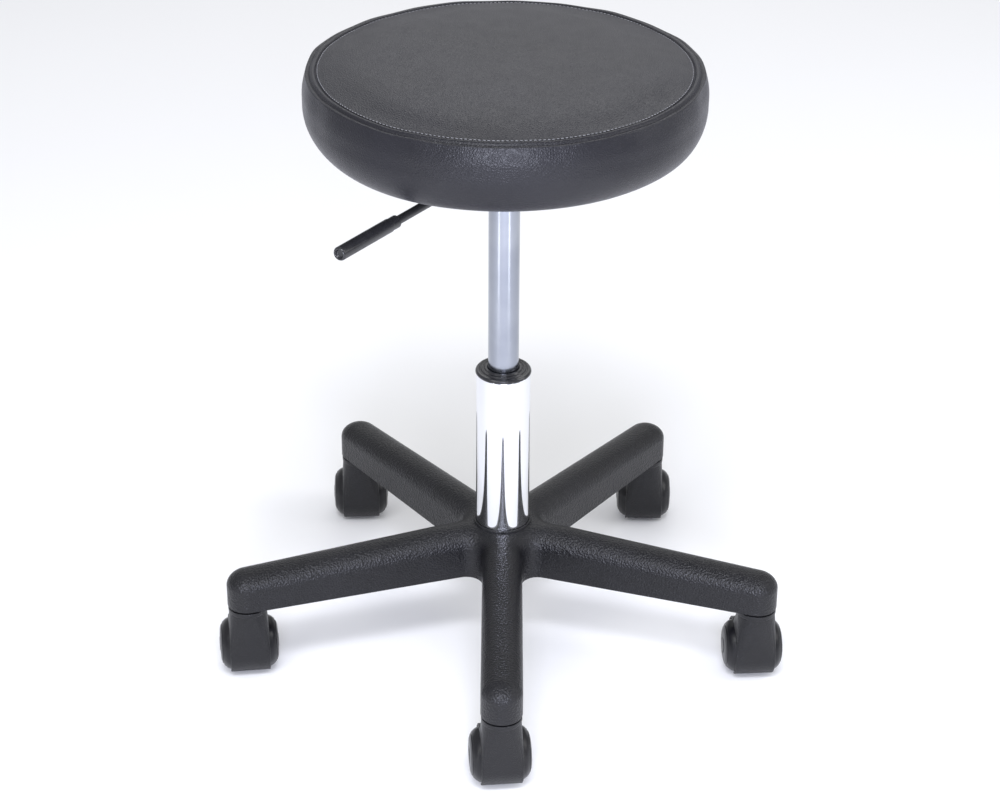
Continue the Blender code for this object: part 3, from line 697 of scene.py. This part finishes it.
def star_outline():
    """Plan of the base: round arm ends, straight sides and a fillet between neighbours."""
    points = []
    fillet_r = (ARM_HALF + CROTCH_FILLET) / math.sin(ARM_STEP / 2)
    tip_steps, side_steps, fillet_steps = 24, 14, 20
    side_start = 0.048
    for k in range(ARMS):
        direction = FRONT + k * ARM_STEP
        turn = Matrix.Rotation(direction, 2)
        tip = [(PIVOT_R + ARM_HALF * math.cos(a), ARM_HALF * math.sin(a))
               for a in (math.pi * (i / tip_steps - 0.5) for i in range(tip_steps + 1))]
        side = [(PIVOT_R + (side_start - PIVOT_R) * i / side_steps, ARM_HALF)
                for i in range(1, side_steps)]
        opposite = [(x, -y) for x, y in reversed(side)]
        points += [turn @ Vector(p) for p in opposite + tip + side]
        bisector = direction + ARM_STEP / 2
        centre = Vector((math.cos(bisector), math.sin(bisector))) * fillet_r
        sweep = math.pi - ARM_STEP
        for i in range(fillet_steps + 1):
            a = bisector + math.pi + sweep * (0.5 - i / fillet_steps)
            points.append(centre + Vector((math.cos(a), math.sin(a))) * CROTCH_FILLET)
    return points


def star_slab():
    """The outline raised to a slab with a rounded upper edge, an eased foot and a sloped top."""
    bm = bmesh.new()
    face = bm.faces.new([bm.verts.new((p.x, p.y, ARM_BOTTOM)) for p in star_outline()])
    raised = bmesh.ops.extrude_face_region(bm, geom=[face])
    top = {v for v in raised["geom"] if isinstance(v, bmesh.types.BMVert)}
    bmesh.ops.translate(bm, verts=list(top), vec=(0, 0, HUB_TOP - ARM_BOTTOM))
    rim = [e for e in bm.edges if all(v in top for v in e.verts)]
    bmesh.ops.bevel(bm, geom=rim, offset=ARM_ROUND, segments=10, profile=0.5, affect="EDGES",
                    clamp_overlap=False)
    foot = [e for e in bm.edges if all(abs(v.co.z - ARM_BOTTOM) < 1e-6 for v in e.verts)]
    bmesh.ops.bevel(bm, geom=foot, offset=ARM_EASE, segments=3, profile=0.5, affect="EDGES",
                    clamp_overlap=False)
    wide = [f for f in bm.faces if len(f.verts) > 4]
    bmesh.ops.triangulate(bm, faces=wide)
    bmesh.ops.recalc_face_normals(bm, faces=bm.faces)
    for v in bm.verts:
        share = (v.co.z - ARM_BOTTOM) / (HUB_TOP - ARM_BOTTOM)
        v.co.z = ARM_BOTTOM + share * (arm_top(v.co.xy.length) - ARM_BOTTOM)
    return mesh_from(bm, "star")


def make_star():
    """The moulded base with its hollow, ribbed underside, stem sockets and hub sleeve."""
    pockets, sockets = [], []
    start, end = 0.037, PIVOT_R - 0.014
    rib, half, roof = 0.003, 0.0125, 0.0075
    below = ARM_BOTTOM - 0.02
    length = (end - start - 2 * rib) / 3
    for k in range(ARMS):
        turn = Matrix.Rotation(FRONT + k * ARM_STEP, 4, "Z")
        for i in range(3):
            low = start + i * (length + rib)
            top = arm_top(low + length) - roof
            pockets.append(box_mesh((low, -half, below), (low + length, half, top), turn))
        place = turn @ Matrix.Translation((PIVOT_R, 0, 0))
        sockets.append(drum_mesh(STEM_HOLE_R, below, STEM_HOLE_TOP, place, 32))
    bore = TUBE_R + GAP
    sleeve = lathe(rounded([(bore, HUB_TOP + 0.0014, 0.0003), (0.0268, HUB_TOP + 0.0014, 0.0005),
                            (0.0275, HUB_TOP - 0.0012, 0.0006), (0.0320, HUB_TOP - 0.0035, 0.001),
                            (0.0300, STAR_LOW.z, 0.001), (bore, STAR_LOW.z, 0.0005)], 4))
    hub_hole = drum_mesh(0.0270, 0.04, 0.15)
    mesh = combined(star_slab(), [("DIFFERENCE", [*pockets, *sockets, hub_hole]),
                                  ("UNION", [sleeve])])
    mesh.transform(AXIS)
    star = show("star_base_moulding", mesh, BASE_NYLON, "base", "base_nylon", "star_base")
    weighted = star.modifiers.new("Weighted", "WEIGHTED_NORMAL")
    weighted.keep_sharp = True


# ---------------------------------------------------------------- column
def make_column():
    """The outer tube with its closed foot, the stepped bush in its mouth and the lift cylinder."""
    inner, foot_hole, floor = TUBE_R - 0.0015, 0.0044, TUBE_LOW.z + 0.002
    outline = rounded([(inner, TUBE_HIGH.z, 0.0003), (TUBE_R, TUBE_HIGH.z, 0.0006),
                       (TUBE_R, TUBE_LOW.z, 0.0005), (foot_hole, TUBE_LOW.z, 0),
                       (foot_hole, floor, 0), (inner, floor, 0)])
    show("outer_column_tube", lathe(outline, 160, AXIS), CHROME, "base", "chrome", "outer_tube")

    bore, sleeve = LIFT_R + 0.00035, TUBE_R - 0.0018
    base, top = TUBE_HIGH.z + GAP, BUSH_HIGH.z
    edge = 0.0003
    outline = rounded([(bore, top - 0.0004, edge), (0.0152, top, edge), (0.0168, top, edge),
                       (0.0175, top - 0.0016, edge), (0.0186, top - 0.0017, edge),
                       (0.0190, top - 0.0011, edge), (0.0202, top - 0.0011, edge),
                       (0.0208, top - 0.0024, edge), (0.0219, top - 0.0026, edge),
                       (0.0224, top - 0.0020, edge), (0.0245, top - 0.0021, 0.0004),
                       (TUBE_R + 0.0007, base + 0.0014, 0.0006),
                       (TUBE_R + 0.0006, base, 0.0004), (sleeve, base, 0),
                       (sleeve, BUSH_LOW.z, 0.0005), (bore, BUSH_LOW.z, 0.0003)], 3)
    bush = lathe(outline, 128, AXIS)
    show("stepped_guide_bush", bush, GLOSS, "base", "black_plastic", "guide_bush")

    roof, valve, core = LIFT_HIGH.z - 0.008, 0.0020, LIFT_R - 0.0017
    outline = rounded([(valve, LIFT_HIGH.z, 0), (TAPER_TOP_R, LIFT_HIGH.z, 0.0009),
                       (LIFT_R, TAPER_LOW, 0.001), (LIFT_R, LIFT_LOW.z, 0.001),
                       (core, LIFT_LOW.z, 0.0003), (core, roof, 0), (valve, roof, 0)])
    show("lift_cylinder", lathe(outline, 128, AXIS), GROUND, "seat", "satin_chrome", "gas_cylinder")


def make_socket():
    """Tapered cup with a rolled lower edge and a slot for the lever."""
    low, high, flange = SOCKET_LOW.z, SOCKET_HIGH.z, 0.0025
    flange_r, cup_r = 0.0260, 0.0180
    outline = rounded([(0.0142, high, 0), (flange_r, high, 0.0005),
                       (flange_r, high - flange, 0.0008), (0.0188, high - flange, 0.0012),
                       (cup_r, high - 0.008, 0.002), (cup_r, low, 0.0008),
                       (0.0145, low, 0.0005), (0.0138, LIFT_HIGH.z + 0.002, 0)])
    pivot = Vector(JOINTS["lever_lift"]["pos_m"]) - AXIS.translation
    turn = Matrix.Rotation(math.atan2(pivot.y, pivot.x), 4, "Z")
    slot_half, slot_low, slot_high = 0.0048, 0.4842, 0.4952
    slot = box_mesh((0.005, -slot_half, slot_low), (0.030, slot_half, slot_high), turn)
    mesh = combined(lathe(outline, 96), [("DIFFERENCE", [slot])])
    mesh.transform(AXIS)
    show("seat_taper_socket", mesh, POWDER, "seat", "black_steel", "taper_socket")


# ---------------------------------------------------------------- lever
def make_lever():
    """Round steel rod with a plastic grip: a collar, a long sleeve and a dished end."""
    joint = JOINTS["lever_lift"]
    pivot = Vector(joint["pos_m"])
    out = (pivot - AXIS.translation).to_2d()
    turn = Matrix.Rotation(math.atan2(out.y, out.x), 4, "Z")
    place = Matrix.Translation(pivot) @ turn @ ALONG_X
    start, end = GRIP_START, GRIP_END
    rod_end = start + ROD_IN_GRIP
    rod = rounded([(0, rod_end, 0), (ROD_R, rod_end, 0.0004), (ROD_R, ROD_TAIL, 0.0006),
                   (0, ROD_TAIL, 0)], 4, ring=False)
    pin_hole = drum_mesh(0.0023, -0.02, 0.02, place @ Matrix.Rotation(math.pi / 2, 4, "X"), 32)
    mesh = combined(lathe(rod, 64, place, ring=False), [("DIFFERENCE", [pin_hole])])
    show("lever_round_rod", mesh, POWDER, "release_lever", "black_steel", "lever_rod")
    bore, blind = ROD_R + GAP, start + ROD_IN_GRIP + 0.001
    sleeve = rounded([(0, end - 0.0024, 0), (0.0030, end - 0.0024, 0.0006),
                      (0.0040, end - 0.0004, 0.0004), (0.0050, end, 0.0004),
                      (GRIP_R, end - 0.0012, 0.001), (GRIP_R, start + 0.0105, 0.0003),
                      (GRIP_R - 0.0005, start + 0.0100, 0.0003),
                      (GRIP_R - 0.0004, start + 0.0006, 0.0006), (0.0048, start, 0.0003),
                      (bore, start, 0), (bore, blind, 0), (0, blind, 0)], 4, ring=False)
    mesh = lathe(sleeve, 64, place, ring=False)
    show("lever_hand_grip", mesh, GLOSS, "release_lever", "black_plastic", "lever_grip")


# ---------------------------------------------------------------- casters
def caster_place(number):
    """Where a caster's own frame stands: its pivot is the Z axis, its axle runs along X."""
    pivot = Vector(JOINTS[f"caster_swivel_{number}"]["pos_m"])
    axle = Vector(JOINTS[f"wheel_left_{number}_spin"]["axis"])
    turn = Matrix.Rotation(math.atan2(axle.y, axle.x), 4, "Z")
    return Matrix.Translation((pivot.x, pivot.y, 0)) @ turn


def hood_front():
    """The shell that runs from the neck down over the front of the wheels, as the hull of both."""
    bm = bmesh.new()
    corner, neck_r = 0.0011, NECK_R - 0.0006
    front_steps, neck_steps = 48, 64
    for i in range(front_steps + 1):
        a = math.pi * i / front_steps
        for x, radius in ((HOOD_HALF, HOOD_R - corner), (HOOD_HALF - corner, HOOD_R)):
            for side in (-1, 1):
                y, z = TRAIL - radius * math.sin(a), WHEEL_R + radius * math.cos(a)
                bm.verts.new((side * x, y, z))
    for i in range(neck_steps):
        a = math.tau * i / neck_steps
        for z in (NECK_LOW, NECK_HIGH):
            bm.verts.new((neck_r * math.cos(a), neck_r * math.sin(a), z))
    bmesh.ops.convex_hull(bm, input=bm.verts)
    flat = math.radians(0.5)
    bmesh.ops.dissolve_limit(bm, angle_limit=flat, verts=bm.verts, edges=bm.edges)
    bmesh.ops.recalc_face_normals(bm, faces=bm.faces)
    return mesh_from(bm, "hood_front")


def hood_mesh(place):
    """Hood over the front and top of both wheels, with its neck and collar."""
    axle = Matrix.Translation((0, TRAIL, WHEEL_R)) @ ALONG_X
    drum = rounded([(0, HOOD_HALF, 0), (HOOD_R, HOOD_HALF, 0.0011), (HOOD_R, -HOOD_HALF, 0.0011),
                    (0, -HOOD_HALF, 0)], 4, ring=False)
    collar = rounded([(0, NECK_TOP, 0), (NECK_R, NECK_TOP, 0.0007), (NECK_R, 0.0706, 0.0007),
                      (NECK_R - 0.0012, 0.0690, 0.0004), (NECK_R - 0.0012, 0.0640, 0),
                      (0, 0.0640, 0)], 5, ring=False)
    collar = lathe(collar, 96, ring=False)
    wells = [drum_mesh(WELL_R, *sorted((side * WELL_IN, side * 0.04)), axle) for side in (-1, 1)]
    underside = box_mesh((-0.05, -0.05, -0.02), (0.05, 0.06, HOOD_BOTTOM))
    back = box_mesh((-0.05, TRAIL + 0.010, -0.02), (0.05, 0.06, 0.036))
    bores = [drum_mesh(AXLE_HOLE_R, -0.01, 0.01, axle, 32),
             drum_mesh(STEM_HOLE_R, 0.0570, 0.09, sides=32)]
    mesh = combined(lathe(drum, 120, axle, ring=False),
                    [("UNION", [hood_front(), collar]),
                     ("DIFFERENCE", [*wells, underside, back, *bores])])
    mesh.transform(place)
    return mesh


def wheel_mesh(place, side):
    """One wheel: a tread with rounded shoulders and a domed face with a groove and a hub cap."""
    bore, hub = AXLE_HOLE_R, 0.0250
    outline = rounded([(0, WHEEL_OUT - 0.0003, 0), (0.0065, WHEEL_OUT - 0.0004, 0.0006),
                       (0.0074, WHEEL_OUT - 0.0013, 0.0003),
                       (0.0082, WHEEL_OUT - 0.0007, 0.0003), (0.0150, WHEEL_OUT - 0.0012, 0.001),
                       (0.0184, WHEEL_OUT - 0.0024, 0.0005), (0.0191, WHEEL_OUT - 0.0037, 0.0003),
                       (0.0199, WHEEL_OUT - 0.0033, 0.0004), (0.0228, WHEEL_OUT - 0.0062, 0.0015),
                       (WHEEL_R, WHEEL_OUT - 0.0110, 0.0025), (WHEEL_R, WHEEL_IN + 0.0002, 0.0010),
                       (0.0238, WHEEL_IN, 0.0004), (bore, WHEEL_IN, 0), (bore, hub, 0),
                       (0, hub, 0)], 4, ring=False)
    axle = Matrix.Translation((0, TRAIL, WHEEL_R))
    turn = ALONG_X if side == "right" else Matrix.Rotation(math.pi, 4, "Z") @ ALONG_X
    return lathe(outline, 96, place @ axle @ turn, ring=False)


def make_casters():
    for number in range(1, ARMS + 1):
        place = caster_place(number)
        show(f"caster_hood_moulding_{number}", hood_mesh(place), CASTER_NYLON,
             f"caster_{number}", "caster_nylon", f"caster_hood_{number}")
        for side in ("left", "right"):
            show(f"domed_wheel_{side}_{number}", wheel_mesh(place, side), WHEEL_NYLON,
                 f"wheel_{side}_{number}", "caster_nylon", f"caster_wheel_{side}_{number}")


# ---------------------------------------------------------------- carried-over nodes
def dress_nodes():
    """Gives every CAD node that stays in view its own detailed material."""
    looks = {"seat_board": plywood_material(), "dust_cloth": dust_cloth_material(),
             "foam_pad": foam_material(), "seat_plate": POWDER, "lever_bracket": POWDER,
             "retaining_clip": POWDER, "rod_seal": RUBBER, "bump_stop": RUBBER,
             "piston_head": GLOSS}
    for name, obj in frame["nodes"].items():
        look = looks.get(name, STEEL)
        for place in obj.material_slots:
            place.material = look


# ---------------------------------------------------------------- studio
def make_floor():
    bm = bmesh.new()
    bmesh.ops.create_grid(bm, x_segments=8, y_segments=8, size=9.0)
    mesh = mesh_from(bm, "floor")
    floor = linked("studio_floor", mesh)
    mesh.materials.append(floor_material())


def make_light(name, place, aim, size, power, color=(1.0, 1.0, 1.0)):
    data = bpy.data.lights.new(name, "AREA")
    data.shape = "RECTANGLE"
    data.size, data.size_y = size
    data.energy = power
    data.color = color
    light = linked(name, data)
    light.location = place
    light.rotation_euler = (Vector(aim) - Vector(place)).to_track_quat("-Z", "Y").to_euler()
    light.visible_camera = False


def make_studio():
    world = bpy.data.worlds.new("studio")
    bpy.context.scene.world = world
    world.use_nodes = True
    background = world.node_tree.nodes["Background"]
    background.inputs["Color"].default_value = (0.97, 0.98, 1.0, 1.0)
    background.inputs["Strength"].default_value = 0.60
    make_light("key", (-1.3, -1.5, 2.2), (0, 0, 0.35), (1.2, 1.2), 14.0)
    make_light("top", (0.0, -1.35, 2.55), (0, 0, 0.30), (1.2, 0.5), 32.0, (0.90, 0.92, 1.0))
    make_light("front", (0.05, -2.3, 0.85), (0, 0, 0.45), (1.0, 0.7), 50.0, (0.80, 0.83, 1.0))
    make_light("back", (0.2, 2.4, 2.3), (0, 0, 0.30), (1.8, 1.2), 11.0)
    make_light("right", (1.9, -0.2, 1.5), (0, 0, 0.30), (1.0, 1.6), 13.0)
    aim, distance, spread = AXIS.translation + Vector((0, 0, 0.20)), 0.72, math.radians(38)
    for side in (-1, 1):
        out = Vector((math.sin(side * spread), -math.cos(side * spread), 0))
        make_light(f"strip_{side + 1}", aim + out * distance, aim, (0.07, 0.40), 0.35)
    view = bpy.context.scene.view_settings
    view.view_transform = "Standard"
    view.look = "None"


def make_camera():
    """Long lens from the front, above the seat, looking down at the column."""
    distance, height, aside = 2.032, 1.370, -0.003
    pitch, roll = math.radians(28.62), math.radians(0.32)
    data = bpy.data.cameras.new("camera")
    data.sensor_width = 36.0
    data.lens = 90.9
    data.shift_y = -0.011
    camera = linked("camera", data)
    look = Matrix.Rotation(math.pi / 2 - pitch, 4, "X") @ Matrix.Rotation(roll, 4, "Z")
    place = Matrix.Translation((aside, AXIS.translation.y - distance, height))
    camera.matrix_world = place @ look
    bpy.context.scene.camera = camera


make_camera()
make_cushion()
make_star()
make_column()
make_socket()
make_lever()
make_casters()
dress_nodes()
make_floor()
make_studio()
